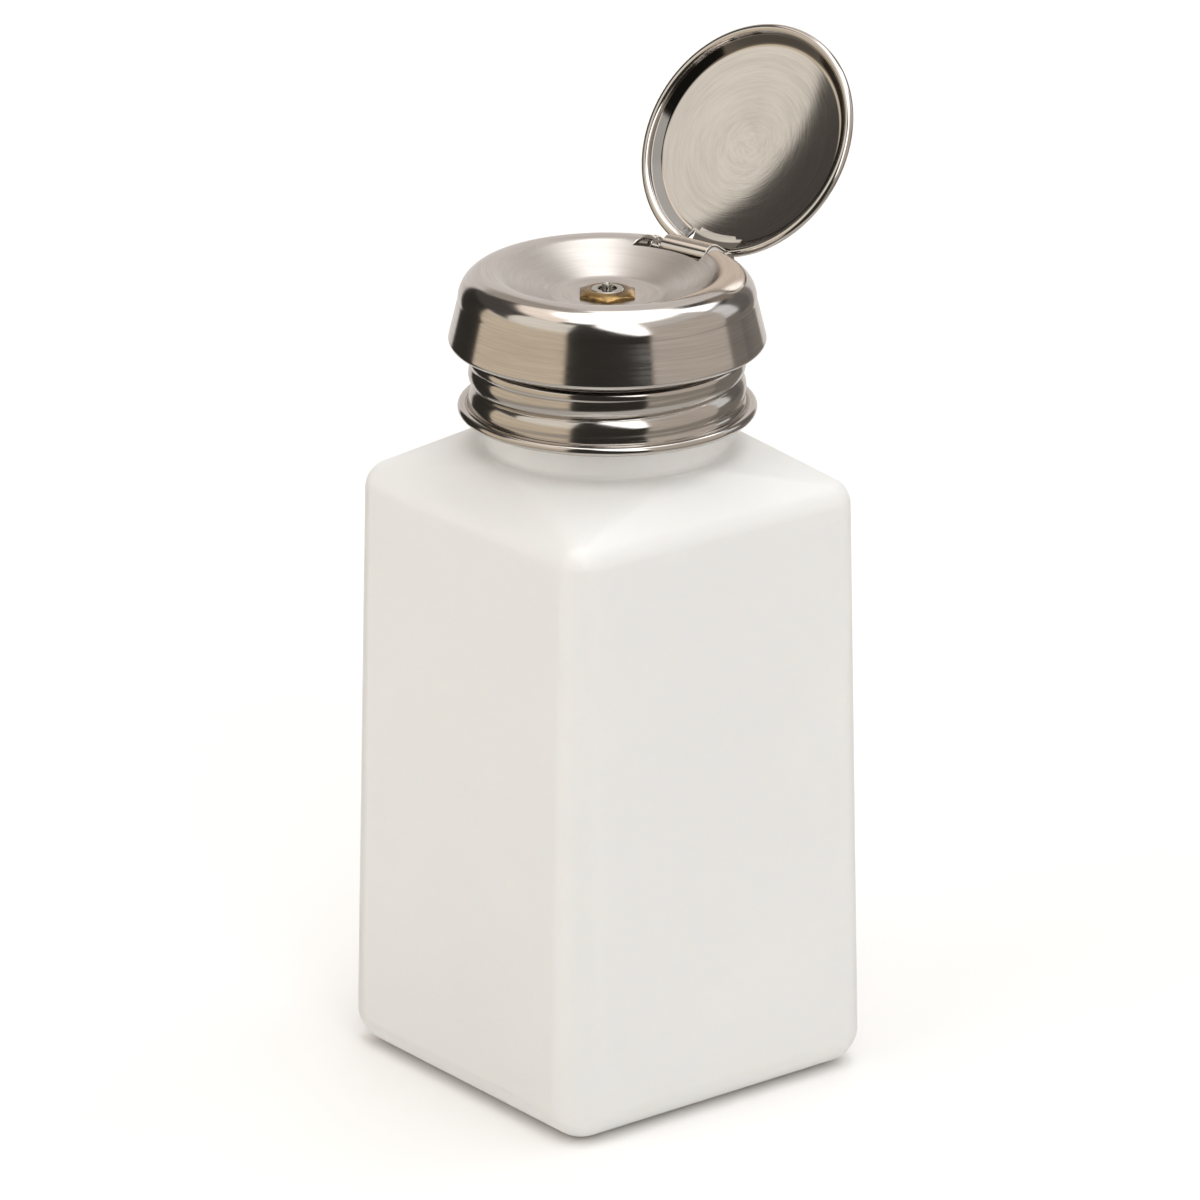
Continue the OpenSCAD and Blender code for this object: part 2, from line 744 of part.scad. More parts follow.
// Strap: across from the disc, down, and round the pin in a curl
module strap_section() {
    translate([strap_root_y - lid_sheet, disc_z]) square([strap_x + lid_sheet - strap_root_y, lid_sheet]);
    translate([strap_x, hinge_z]) square([lid_sheet, disc_z + lid_sheet - hinge_z]);
    polygon(concat(
        [for (i = [0 : 2 * arc_steps]) curl_point(i / (2 * arc_steps), 0)],
        [for (i = [2 * arc_steps : -1 : 0]) curl_point(i / (2 * arc_steps), lid_sheet)]
    ));
    translate([hinge_y, hinge_z]) circle(r = knuckle_r);
}

// The curl winds inwards from the strap to the knuckle
function curl_point(part, t) =
    let (a = 180 + curl_turn * part, r = curl_r - (curl_r - knuckle_r) * pow(part, curl_power) - t)
    [hinge_y + r * cos(a), hinge_z + r * sin(a)];

module lid() {
    color([0.7, 0.67, 0.63]) on_head()
        translate([0, hinge_y, hinge_z]) rotate([-lid_open, 0, 0]) translate([0, -hinge_y, -hinge_z])
            difference() {
                union() {
                    difference() {
                        lid_cup();
                        translate([-strap_w / 2 - strap_gap, strap_root_y, rim_z - lid_bead_t])
                            cube([strap_w + 2 * strap_gap, lid_d, 2 * lid_bead_t + disc_h]);
                    }
                    rotate([90, 0, 90]) linear_extrude(height = strap_w, center = true) strap_section();
                }
                translate([0, hinge_y, hinge_z]) rotate([0, 90, 0])
                    cylinder(r = knuckle_bore_r, h = 2 * strap_w, center = true);
            }
}

bottle();
collar();
neck_gasket();
pump_body();
gland_nut();
gland_seal();
foot_ball();
ball_cage();
dip_tube();
return_spring();
stem();
piston();
piston_seal();
discharge_ball();
ball_stop_pin();
dish_washer();
dish();
outlet_nut();
outlet_sleeve();
hinge_pin();
lid();
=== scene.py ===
"""The looks of a square plastic bottle with a push-down steel dish, a rolled steel collar and a flip lid.

Sizes and heights are in millimetres, in the part's own frame, and become metres as a piece is made.
"""

import math

import bmesh
import bpy
from mathutils import Matrix, Vector


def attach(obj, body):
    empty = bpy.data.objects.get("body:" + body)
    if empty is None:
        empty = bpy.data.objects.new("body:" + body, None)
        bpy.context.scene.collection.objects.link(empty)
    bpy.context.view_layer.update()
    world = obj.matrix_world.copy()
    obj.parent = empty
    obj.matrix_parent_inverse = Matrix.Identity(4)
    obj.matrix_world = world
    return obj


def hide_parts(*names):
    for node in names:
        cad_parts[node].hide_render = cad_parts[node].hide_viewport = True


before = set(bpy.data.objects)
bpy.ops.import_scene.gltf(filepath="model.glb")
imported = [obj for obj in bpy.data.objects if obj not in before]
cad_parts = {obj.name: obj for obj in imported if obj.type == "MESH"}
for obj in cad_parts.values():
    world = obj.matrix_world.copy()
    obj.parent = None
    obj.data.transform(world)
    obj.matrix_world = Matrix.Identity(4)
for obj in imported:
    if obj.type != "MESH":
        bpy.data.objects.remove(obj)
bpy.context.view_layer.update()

MM = 0.001
FULL_TURN = 2 * math.pi

# Heights on the axis
COLLAR_INNER_TOP = 110.65
COLLAR_TOP = 111.15
WELL_FLOOR = 119.5
CREST = 123.3
SKIRT_FOOT = 112.2

# Collar
RIDGE_R = 20.4
COLLAR_SHEET = 0.5
COLLAR_EDGE_R = 1.0
COLLAR_HOLE_R = 7.61
GROOVE_DEPTH = 0.85
THREAD_LEAD = 4.0
BEAD_R = 0.75
BEAD_X = 21.25
BEAD_Z = 102.5
BAND_FOOT = 103.25
BAND_TOP = 110.15
BAND_FADE = 0.8
BAND_LAND = 0.3
GROOVE_Z = 103.07

# Dish
HEAD_TURN = math.radians(12.8)
DISH_SHEET = 0.6
DISH_HOLE_R = 2.32
CREST_X = 17.5
CREST_R = 4.4
FLOOR_R = 7.4
FLOOR_FILLET_R = 3.0
DULL_R = 17.0
SKIRT_R = 23.3
LIP_R = 0.9

# Outlet
NUT_FLATS = 8.05
NUT_HEIGHT = 0.95
NUT_EDGE = 0.25
NUT_TURN = math.radians(9.2)
SLEEVE_R = 2.45
SLEEVE_TOP = 120.5
RECESS_R = 1.35
TIP_R = 0.75
TIP_TOP = 121.2
OUTLET_R = 0.35
# Painted shade: radii of the outlet's recess, darkened in its colour
RECESS_SHADE = (0.7, 1.5)

# Hinge and lid
HINGE_Y = 19.4
HINGE_Z = 120.8
NOTCH_HALF_W = 6.2
NOTCH_R = 14.8
NOTCH_FROM_Y = 10
NOTCH_TO_Y = 30
ABOVE_ALL = 130
NOTCH_Z = 119.4
EAR_SHEET = 0.9
EAR_R = 1.7
LID_OPEN = math.radians(122.4)
LID_SHEET = 0.5
LID_BEAD_R = 0.7
RIM_X = 17.55
RIM_Z = 124.3
DISC_X = 15.7
DISC_Z = 125.5
DISC_RISE = 1.0
DISC_POWER = 2
# Painted shade: radii of the lid's wall between disc and bead, darkened in its colour on both faces
LID_WALL_SHADE = (15.55, 16.8)
STRAP_HALF_W = 4.2
STRAP_GAP = 0.3
STRAP_ROOT_Y = 14.7
KNUCKLE_R = 1.15
CURL_R = 2.4
CURL_TURN = 200
CURL_POWER = 2.5
STRAP_X = HINGE_Y - CURL_R


# Shader nodes


class Wire:
    """A socket that gives a number, so that shader maths reads as plain arithmetic"""

    def __init__(self, net, socket):
        self.net = net
        self.socket = socket

    def maths(self, operation, *others):
        made = self.net.node("ShaderNodeMath", {"operation": operation}, dict(enumerate((self, *others))))
        return Wire(self.net, made.outputs[0])

    def __add__(self, other):
        return self.maths("ADD", other)

    __radd__ = __add__

    def __sub__(self, other):
        return self.maths("SUBTRACT", other)

    def __rsub__(self, other):
        return self * -1 + other

    def __mul__(self, other):
        return self.maths("MULTIPLY", other)

    __rmul__ = __mul__

    def __truediv__(self, other):
        return self.maths("DIVIDE", other)

    def __pow__(self, other):
        return self.maths("POWER", other)

    def ease(self, low, high):
        """0 below low, 1 above high and smooth between"""
        made = self.net.node(
            "ShaderNodeMapRange",
            {"interpolation_type": "SMOOTHSTEP"},
            {"Value": self, "From Min": low, "From Max": high},
        )
        return Wire(self.net, made.outputs[0])

    def between(self, low, high, soft):
        """1 from low to high, with soft edges"""
        return self.ease(low - soft, low + soft) * (1 - self.ease(high - soft, high + soft))


class Net:
    """The nodes of one material or of the studio"""

    def __init__(self, tree):
        self.tree = tree
        tree.nodes.clear()

    def node(self, kind, settings, sockets):
        made = self.tree.nodes.new(kind)
        for name, value in settings.items():
            setattr(made, name, value)
        for name, value in sockets.items():
            if isinstance(value, Wire):
                self.tree.links.new(value.socket, made.inputs[name])
            else:
                made.inputs[name].default_value = value
        return made

    def wire(self, kind, settings, sockets, output=0):
        return Wire(self, self.node(kind, settings, sockets).outputs[output])

    def mix(self, factor, first, second):
        """The first colour turned into the second by a factor"""
        return self.wire("ShaderNodeMix", {"data_type": "RGBA"}, {0: factor, 6: first, 7: second}, 2)

    def place(self, turn_z=0.0, turn_x=0.0, centre=(0.0, 0.0, 0.0)):
        """Object coordinates, turned about Z and then about X through a centre"""
        spot = self.wire("ShaderNodeTexCoord", {}, {}, "Object")
        if turn_z:
            spot = self.wire("ShaderNodeMapping", {}, {"Vector": spot, "Rotation": (0, 0, turn_z)})
        if turn_x:
            shift = Vector(centre) - Matrix.Rotation(turn_x, 3, "X") @ Vector(centre)
            spot = self.wire(
                "ShaderNodeMapping", {}, {"Vector": spot, "Rotation": (turn_x, 0, 0), "Location": shift}
            )
        return spot

    def parts(self, vector):
        split = self.node("ShaderNodeSeparateXYZ", {}, {"Vector": vector})
        return [Wire(self, out) for out in split.outputs]

    def joined(self, x, y, z):
        return self.wire("ShaderNodeCombineXYZ", {}, {"X": x, "Y": y, "Z": z})

    def noise(self, vector, scale, detail=3.0, roughness=0.5):
        return self.wire(
            "ShaderNodeTexNoise",
            {},
            {"Vector": vector, "Scale": scale, "Detail": detail, "Roughness": roughness},
        )

    def bump(self, height, distance, strength=1.0):
        return self.wire(
            "ShaderNodeBump", {}, {"Height": height, "Distance": distance, "Strength": strength}, "Normal"
        )

    def surface(self, **sockets):
        """The closing shader, with its sockets named in words joined by _"""
        shader = self.node(
            "ShaderNodeBsdfPrincipled", {}, {name.replace("_", " "): value for name, value in sockets.items()}
        )
        output = self.node("ShaderNodeOutputMaterial", {}, {})
        self.tree.links.new(shader.outputs[0], output.inputs[0])


def new_finish(name):
    finish = bpy.data.materials.new(name)
    finish.use_nodes = True
    return finish, Net(finish.node_tree)


def rgb(red, green, blue):
    return (red, green, blue, 1.0)


# Finishes

DULL_FADE = 2.0
DULL_ROUGHNESS = 0.17
# Painted shade: a near-black tint mixed into a steel's colour between two radii
SHADE_RING_SOFT = 0.12
SHADE_RING_SHARE = 0.94
SHADE_RING_TINT = (0.12, 0.11, 0.1)


def steel_finish(
    name,
    tint,
    roughness,
    line_depth,
    line_scale=2600.0,
    turn_z=0.0,
    turn_x=0.0,
    centre=(0, 0, 0),
    dull_r=0.0,
    painted_shade_ring=(0.0, 0.0),
):
    """Polished sheet steel with fine lines round its axis, duller inside a radius, and darkened in a ring by
    painted shade

    The radii are in millimetres.
    """
    finish, net = new_finish(name)
    spot = net.place(turn_z, turn_x, centre)
    x, y, z = net.parts(spot)
    radius = (x * x + y * y) ** 0.5 + 1e-5
    along = x / radius
    across = y / radius
    rings = net.joined(radius * line_scale + along * 2.2, z * line_scale + across * 2.2, along * across * 1.7)
    lines = net.noise(rings, 1.0, 4.0, 0.65)
    broad = net.noise(net.joined(radius * 420 + along, z * 420 + across, along), 1.0, 2.0)
    smudge = net.noise(spot, 95.0, 3.0)
    rough = roughness * ((lines - 0.5) * 1.2 + (smudge - 0.5) * 0.5 + 1)
    if dull_r:
        rough = rough + (1 - radius.ease((dull_r - DULL_FADE) * MM, dull_r * MM)) * DULL_ROUGHNESS
    dull = net.mix(smudge.ease(0.35, 0.8), rgb(*tint), rgb(*(part * 0.95 for part in tint)))
    shade = net.mix((lines * 0.6 + broad * 0.4).ease(0.3, 0.75), dull, rgb(*(part * 0.8 for part in tint)))
    # painted shade: the colour is darkened toward a near-black tint between two radii
    inner, outer = painted_shade_ring
    if outer:
        ring = radius.between(inner * MM, outer * MM, SHADE_RING_SOFT * MM)
        shade = net.mix(ring * SHADE_RING_SHARE, shade, rgb(*SHADE_RING_TINT))
    net.surface(
        Base_Color=shade,
        Metallic=1.0,
        Roughness=rough,
        Normal=net.bump(lines * 0.75 + broad * 0.25, line_depth),
    )
    return finish


def brass_finish(name):
    """Turned brass, darkened in places"""
    finish, net = new_finish(name)
    spot = net.place()
    stain = net.noise(spot, 420.0, 4.0)
    grain = net.noise(spot, 2500.0, 2.0)
    net.surface(
        Base_Color=net.mix(stain.ease(0.4, 0.75), rgb(0.36, 0.23, 0.09), rgb(0.09, 0.06, 0.035)),
        Metallic=1.0,
        Roughness=stain * 0.25 + 0.12,
        Normal=net.bump(grain, 0.00001),
    )
    return finish


def bottle_finish(name):
    """Blown natural plastic: satin, milky, a little uneven"""
    finish, net = new_finish(name)
    spot = net.place()
    sag = net.noise(spot, 28.0, 2.0)
    cloud = net.noise(spot, 22.0, 3.0)
    net.surface(
        Base_Color=net.mix(cloud.ease(0.3, 0.7), rgb(0.9, 0.885, 0.86), rgb(0.875, 0.865, 0.845)),
        Roughness=cloud * 0.06 + 0.27,
        Subsurface_Weight=0.35,
        Subsurface_Radius=(0.9, 0.75, 0.6),
        Subsurface_Scale=0.004,
        IOR=1.5,
        Normal=net.bump(sag, 0.0005),
    )
    return finish


def plastic_finish(name, colour, roughness=0.42):
    """Moulded plastic with a faint satin grain"""
    finish, net = new_finish(name)
    spot = net.place()
    grain = net.noise(spot, 1600.0, 3.0)
    cloud = net.noise(spot, 70.0, 2.0)
    net.surface(
        Base_Color=net.mix(cloud.ease(0.3, 0.7), rgb(*colour), rgb(*(part * 0.95 for part in colour))),
        Roughness=grain * 0.12 + roughness,
        Normal=net.bump(grain, 0.00001),
    )
    return finish


def rubber_finish(name, colour):
    """Soft rubber, matt with a dusty bloom"""
    finish, net = new_finish(name)
    spot = net.place()
    bloom = net.noise(spot, 240.0, 4.0)
    net.surface(
        Base_Color=net.mix(bloom.ease(0.45, 0.8), rgb(*colour), rgb(*(part * 0.8 + 0.05 for part in colour))),
        Roughness=bloom * 0.2 + 0.6,
        Normal=net.bump(bloom, 0.00003),
    )
    return finish


PIN_CENTRE = Vector((0, HINGE_Y, HINGE_Z)) * MM
spun_steel = steel_finish("spun_steel", (0.66, 0.62, 0.58), 0.13, 0.0000035)
dish_steel = steel_finish("dish_steel", (0.68, 0.64, 0.605), 0.13, 0.0000035, dull_r=DULL_R)
lid_steel = steel_finish(
    "lid_steel",
    (0.68, 0.64, 0.6),
    0.09,
    0.000003,
    3000.0,
    -HEAD_TURN,
    LID_OPEN,
    PIN_CENTRE,
    painted_shade_ring=LID_WALL_SHADE,
)
pin_steel = steel_finish("pin_steel", (0.66, 0.63, 0.6), 0.2, 0.000003)
outlet_steel = steel_finish(
    "outlet_steel", (0.5, 0.47, 0.42), 0.16, 0.000002, 6000.0, painted_shade_ring=RECESS_SHADE
)
inner_steel = steel_finish("inner_steel", (0.62, 0.62, 0.62), 0.25, 0.000004)
outlet_brass = brass_finish("outlet_brass")
natural_plastic = bottle_finish("natural_plastic")
pump_plastic = plastic_finish("pump_plastic", (0.86, 0.86, 0.83))
piston_plastic = plastic_finish("piston_plastic", (0.8, 0.8, 0.8))
tube_plastic = plastic_finish("tube_plastic", (0.88, 0.88, 0.86), 0.3)
seal_rubber = rubber_finish("seal_rubber", (0.02, 0.02, 0.02))
gasket_rubber = rubber_finish("gasket_rubber", (0.72, 0.72, 0.69))


# Shapes


def arc(x, z, r, start, end, steps):
    """Points on an arc in a section, from one angle in degrees to another"""
    angles = [math.radians(start + (end - start) * step / steps) for step in range(steps + 1)]
    return [(x + r * math.cos(a), z + r * math.sin(a)) for a in angles]


def spun(line, steps, closed=False):
    """The surface made by turning a section's line, radius and height, round the Z axis"""
    bm = bmesh.new()
    points = [bm.verts.new((x * MM, 0, z * MM)) for x, z in line]
    for first, second in zip(points, points[1:] + points[:1] if closed else points[1:]):
        bm.edges.new((first, second))
    bmesh.ops.spin(
        bm,
        geom=bm.verts[:] + bm.edges[:],
        axis=(0, 0, 1),
        cent=(0, 0, 0),
        angle=FULL_TURN,
        steps=steps,
        use_merge=True,
    )
    bmesh.ops.remove_doubles(bm, verts=bm.verts, dist=1e-7)
    bmesh.ops.recalc_face_normals(bm, faces=bm.faces)
    return bm


def face_outwards(bm, test):
    """Flip an open surface whose face nearest the test point looks away from it"""
    nearest = min(bm.faces, key=lambda face: (face.calc_center_median() - test * MM).length)
    if nearest.normal.dot(test * MM - nearest.calc_center_median()) < 0:
        bmesh.ops.reverse_faces(bm, faces=bm.faces)


def cut_window(bm, low, high, beyond=0.0):
    """Cut what lies inside a box, and beyond a radius, out of a thin surface"""
    low, high = Vector(low) * MM, Vector(high) * MM
    margin = Vector((2, 2, 2)) * MM

    def inside(point, low, high):
        return all(l <= p <= h for l, p, h in zip(low, point, high))

    for axis in range(3):
        for side in (low, high):
            reach = (low - margin, high + margin)
            near = [face for face in bm.faces if any(inside(v.co, *reach) for v in face.verts)]
            edges = {edge for face in near for edge in face.edges}
            points = {vert for face in near for vert in face.verts}
            normal = Vector((0, 0, 0))
            normal[axis] = 1
            bmesh.ops.bisect_plane(
                bm, geom=[*near, *edges, *points], dist=1e-7, plane_co=normal * side[axis], plane_no=normal
            )
    middles = {face: face.calc_center_median() for face in bm.faces}
    gone = [face for face, mid in middles.items() if inside(mid, low, high) and mid.xy.length > beyond * MM]
    bmesh.ops.delete(bm, geom=gone, context="FACES")


def turned(bm, angle, axis="Z", centre=(0, 0, 0)):
    bmesh.ops.rotate(bm, verts=bm.verts, cent=centre, matrix=Matrix.Rotation(angle, 3, axis))


def finished(name, bm, body, finish, stands_for=(), sheet=0.0, edge=0.0, sharp=35.0):
    """A piece from a bmesh, with a sheet's thickness under its face and its edges rounded"""
    mesh = bpy.data.meshes.new(name)
    bm.to_mesh(mesh)
    bm.free()
    mesh.materials.append(finish)
    mesh.polygons.foreach_set("use_smooth", [True] * len(mesh.polygons))
    piece = bpy.data.objects.new(name, mesh)
    bpy.context.scene.collection.objects.link(piece)
    if sheet:
        wall = piece.modifiers.new("sheet", "SOLIDIFY")
        wall.thickness = sheet * MM
        wall.offset = -1
        wall.use_even_offset = True
    if edge:
        rounding = piece.modifiers.new("edge", "BEVEL")
        rounding.width = edge * MM
        rounding.segments = 2
        rounding.limit_method = "ANGLE"
        rounding.angle_limit = math.radians(sharp)
    shade = piece.modifiers.new("shade", "WEIGHTED_NORMAL")
    shade.keep_sharp = True
    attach(piece, body)
    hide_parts(*stands_for)
    return piece


# Bottle


def make_bottle():
    """The blown bottle, its flats merged so that only its rounded edges bend the light"""
    bm = bmesh.new()
    bm.from_mesh(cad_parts["bottle"].data)
    bmesh.ops.remove_doubles(bm, verts=bm.verts, dist=2e-6)
    bmesh.ops.dissolve_limit(bm, angle_limit=math.radians(1.5), verts=bm.verts, edges=bm.edges)
    bmesh.ops.triangulate(bm, faces=[face for face in bm.faces if len(face.verts) > 4])
    finished("bottle_body", bm, "bottle", natural_plastic, ["bottle"])


# Collar


def groove_at(z, turn):
    """How deep the rolled groove is at a height, 0 on a ridge and 1 in a crease"""
    wave = abs(math.sin(math.pi * (z - GROOVE_Z - THREAD_LEAD * turn) / THREAD_LEAD))
    return 1 - wave**0.7


def make_collar():
    """The spun collar: top, rolled thread and rolled bead, one sheet"""
    rows = 72
    low, high = BAND_FOOT + BAND_LAND, BAND_TOP
    heights = [low + (high - low) * row / rows for row in range(rows + 1)]
    inside = RIDGE_R - COLLAR_SHEET
    edge_x = RIDGE_R - COLLAR_EDGE_R
    line = [(inside, BEAD_Z - COLLAR_SHEET / 2)]
    line += arc(BEAD_X, BEAD_Z, BEAD_R, -160, 160, 28)
    line += arc(RIDGE_R + 0.35, BEAD_Z + COLLAR_SHEET / 2 + 0.35, 0.35, -90, -180, 4)
    line += [(RIDGE_R, z) for z in heights]
    line += arc(edge_x, BAND_TOP, COLLAR_EDGE_R, 0, 90, 8)[1:]
    line += [(COLLAR_HOLE_R, COLLAR_TOP), (COLLAR_HOLE_R, COLLAR_INNER_TOP)]
    line += arc(edge_x, BAND_TOP, COLLAR_EDGE_R - COLLAR_SHEET, 90, 0, 6)
    line += [(inside, z) for z in reversed(heights[:-1])]
    bm = spun(line, 256, closed=True)
    for vert in bm.verts:
        x, y, z = vert.co / MM
        radius = math.hypot(x, y)
        fade = min(1, (z - BAND_FOOT - BAND_LAND) / BAND_FADE, (BAND_TOP - BAND_LAND - z) / BAND_FADE)
        if fade > 0 and radius > inside - 0.01:
            turn = math.atan2(y, x) / FULL_TURN
            sunk = GROOVE_DEPTH * groove_at(z, turn) * fade
            vert.co.xy *= (radius - sunk) / radius
    finished("rolled_collar", bm, "collar", spun_steel, ["collar"])


# Dish


def well_slope():
    """Angle of the well's wall between its two roundings"""
    run = CREST_X - FLOOR_R
    drop = CREST - CREST_R - WELL_FLOOR - FLOOR_FILLET_R
    return math.degrees(math.atan2(drop, run) + math.asin((CREST_R + FLOOR_FILLET_R) / math.hypot(run, drop)))


def dish_line():
    slope = well_slope()
    line = [(DISH_HOLE_R, WELL_FLOOR), (FLOOR_R * 0.6, WELL_FLOOR)]
    line += arc(FLOOR_R, WELL_FLOOR + FLOOR_FILLET_R, FLOOR_FILLET_R, -90, -90 + slope, 10)
    crest = arc(CREST_X, CREST - CREST_R, CREST_R, 90 + slope, 0, 44)
    wall_top_x, wall_top_z = crest[0]
    line.append((NOTCH_R, wall_top_z - (wall_top_x - NOTCH_R) * math.tan(math.radians(slope))))
    line += crest
    line += arc(SKIRT_R - LIP_R, SKIRT_FOOT + LIP_R, LIP_R, 0, -90, 10)
    return line


def make_dish():
    """The drawn dish with its notch for the hinge"""
    bm = spun(dish_line(), 240)
    face_outwards(bm, Vector((0, -40, 116)))
    cut_window(
        bm, (-NOTCH_HALF_W, NOTCH_FROM_Y, NOTCH_Z), (NOTCH_HALF_W, NOTCH_TO_Y, ABOVE_ALL), NOTCH_R
    )
    turned(bm, HEAD_TURN)
    finished("dish_shell", bm, "plunger", dish_steel, ["dish"], sheet=DISH_SHEET, edge=0.16)


def make_ears():
    """The two ears that hold the hinge pin, bent down at the notch's sides"""
    for side in (-1, 1):
        bm = bmesh.new()
        bmesh.ops.create_circle(bm, cap_ends=True, radius=EAR_R * MM, segments=40)
        turned(bm, math.pi / 2, "Y")
        made = bmesh.ops.extrude_face_region(bm, geom=bm.faces[:])
        moved = [part for part in made["geom"] if isinstance(part, bmesh.types.BMVert)]
        bmesh.ops.translate(bm, verts=moved, vec=(EAR_SHEET * MM, 0, 0))
        bmesh.ops.recalc_face_normals(bm, faces=bm.faces)
        start = NOTCH_HALF_W if side > 0 else -NOTCH_HALF_W - EAR_SHEET
        bmesh.ops.translate(bm, verts=bm.verts, vec=Vector((start, HINGE_Y, HINGE_Z)) * MM)
        turned(bm, HEAD_TURN)
        name = "ear_right" if side > 0 else "ear_left"
        finished(name, bm, "plunger", dish_steel, edge=0.2)


# Outlet


def make_nut():
    """The low brass nut: a turned cap whose rim is milled to six flats"""
    rim = NUT_FLATS / 2 / math.cos(math.pi / 6)
    top = WELL_FLOOR + NUT_HEIGHT
    edge = WELL_FLOOR + NUT_EDGE
    line = [(SLEEVE_R + 0.02, top - 0.4), (SLEEVE_R + 0.02, top)]
    line += [(SLEEVE_R + 0.3, top), (NUT_FLATS / 2 - 0.35, edge + 0.42), (NUT_FLATS / 2, edge + 0.2)]
    line += [(rim - 0.1, edge + 0.06), (rim, edge - 0.04)]
    line += [(rim, WELL_FLOOR + 0.01), (SLEEVE_R, WELL_FLOOR + 0.01)]
    bm = spun(line, 144, closed=True)
    for vert in bm.verts:
        x, y = vert.co.xy / MM
        radius = math.hypot(x, y)
        off_flat = (math.atan2(y, x) % (math.pi / 3)) - math.pi / 6
        reach = NUT_FLATS / 2 / math.cos(off_flat)
        if radius > reach:
            vert.co.xy *= reach / radius
    turned(bm, HEAD_TURN + NUT_TURN)
    finished("outlet_hexagon", bm, "plunger", outlet_brass, ["outlet_nut"], edge=0.05)


def make_sleeve():
    """The steel outlet with its recess and nozzle tip"""
    line = [(OUTLET_R, WELL_FLOOR), (OUTLET_R, TIP_TOP - 0.1)]
    line += arc(TIP_R - 0.16, TIP_TOP - 0.16, 0.16, 90, 0, 4)
    line += [(TIP_R, SLEEVE_TOP - 0.7), (RECESS_R, SLEEVE_TOP - 0.7)]
    line += arc(RECESS_R + 0.15, SLEEVE_TOP - 0.15, 0.15, 180, 90, 4)
    line += arc(SLEEVE_R - 0.2, SLEEVE_TOP - 0.2, 0.2, 90, 0, 4)
    line += [(SLEEVE_R, SLEEVE_TOP - 0.45), (1.7, SLEEVE_TOP - 0.45), (1.7, WELL_FLOOR)]
    bm = spun(line, 72, closed=True)
    finished("outlet_tip", bm, "plunger", outlet_steel, ["outlet_sleeve"])


# Lid


def disc_z(x):
    return DISC_Z + DISC_RISE * (1 - (x / DISC_X) ** DISC_POWER)


def lid_line():
    """The lid's under face when it is closed: disc, wall and the bead rolled outwards"""
    line = [(DISC_X * step / 24, disc_z(DISC_X * step / 24)) for step in range(24)]
    line += [(DISC_X - 0.12, disc_z(DISC_X) + 0.02), (DISC_X + 0.12, DISC_Z - 0.12)]
    line += [(RIM_X - LID_BEAD_R - 0.04, RIM_Z + 0.25)]
    line += arc(RIM_X, RIM_Z, LID_BEAD_R, 180, 460, 36)
    return line


def strap_line():
    """The strap's under face when the lid is closed, from the disc to the knuckle round the pin"""
    root = disc_z(STRAP_ROOT_Y) - 0.01
    line = [(STRAP_ROOT_Y - 0.3, root), (STRAP_X - 0.8, root - 0.1)]
    line += arc(STRAP_X - 0.6, root - 0.7, 0.6, 90, 0, 6)[1:]
    for step in range(41):
        part = step / 40
        angle = math.radians(180 + CURL_TURN * part)
        r = CURL_R - (CURL_R - KNUCKLE_R) * part**CURL_POWER
        line.append((HINGE_Y + r * math.cos(angle), HINGE_Z + r * math.sin(angle)))
    return line


def make_lid():
    """The pressed lid, drawn closed and turned open about its pin"""
    bm = spun(lid_line(), 240)
    face_outwards(bm, Vector((0, 0, 80)))
    half = STRAP_HALF_W + STRAP_GAP
    cut_window(bm, (-half, STRAP_ROOT_Y, RIM_Z - 2), (half, 22, DISC_Z + 2))
    open_lid(bm)
    finished("lid_cup", bm, "lid", lid_steel, ["lid"], sheet=LID_SHEET * 0.8, edge=0.1)

    bm = bmesh.new()
    points = [bm.verts.new((-STRAP_HALF_W * MM, y * MM, z * MM)) for y, z in strap_line()]
    edges = [bm.edges.new(pair) for pair in zip(points, points[1:])]
    made = bmesh.ops.extrude_edge_only(bm, edges=edges)
    moved = [part for part in made["geom"] if isinstance(part, bmesh.types.BMVert)]
    bmesh.ops.translate(bm, verts=moved, vec=(2 * STRAP_HALF_W * MM, 0, 0))
    face_outwards(bm, Vector((0, 17.4, 100)))
    open_lid(bm)
    finished("lid_strap", bm, "lid", lid_steel, sheet=LID_SHEET, edge=0.14)


def open_lid(bm):
    turned(bm, -LID_OPEN, "X", PIN_CENTRE)
    turned(bm, HEAD_TURN)


# Studio

CAMERA_PLACE = (0.91022, -0.71353, 0.4908)
CAMERA_AZIMUTH = math.radians(51.96)
CAMERA_PITCH = math.radians(19.904)
CAMERA_LENS = 249.4


def make_camera():
    data = bpy.data.cameras.new("camera")
    data.sensor_width = 36
    data.lens = CAMERA_LENS
    data.clip_start = 0.01
    camera = bpy.data.objects.new("camera", data)
    camera.location = CAMERA_PLACE
    camera.rotation_euler = (math.pi / 2 - CAMERA_PITCH, 0, CAMERA_AZIMUTH)
    bpy.context.scene.collection.objects.link(camera)
    bpy.context.scene.camera = camera


def make_floor():
    """A pale floor that fills the view; polished steel reflects the studio instead of it"""
    finish, net = new_finish("pale_floor")
    mottle = net.noise(net.place(), 3.0, 2.0)
    net.surface(
        Base_Color=net.mix(mottle, rgb(0.93, 0.93, 0.925), rgb(0.94, 0.935, 0.93)),
        Roughness=0.9,
        Specular_IOR_Level=0.1,
    )
    bm = bmesh.new()
    bmesh.ops.create_grid(bm, x_segments=4, y_segments=4, size=12)
    bmesh.ops.translate(bm, verts=bm.verts, vec=(0, 0, -0.00002))
    mesh = bpy.data.meshes.new("floor")
    bm.to_mesh(mesh)
    bm.free()
    mesh.materials.append(finish)
    floor = bpy.data.objects.new("floor", mesh)
    floor.visible_glossy = False
    bpy.context.scene.collection.objects.link(floor)


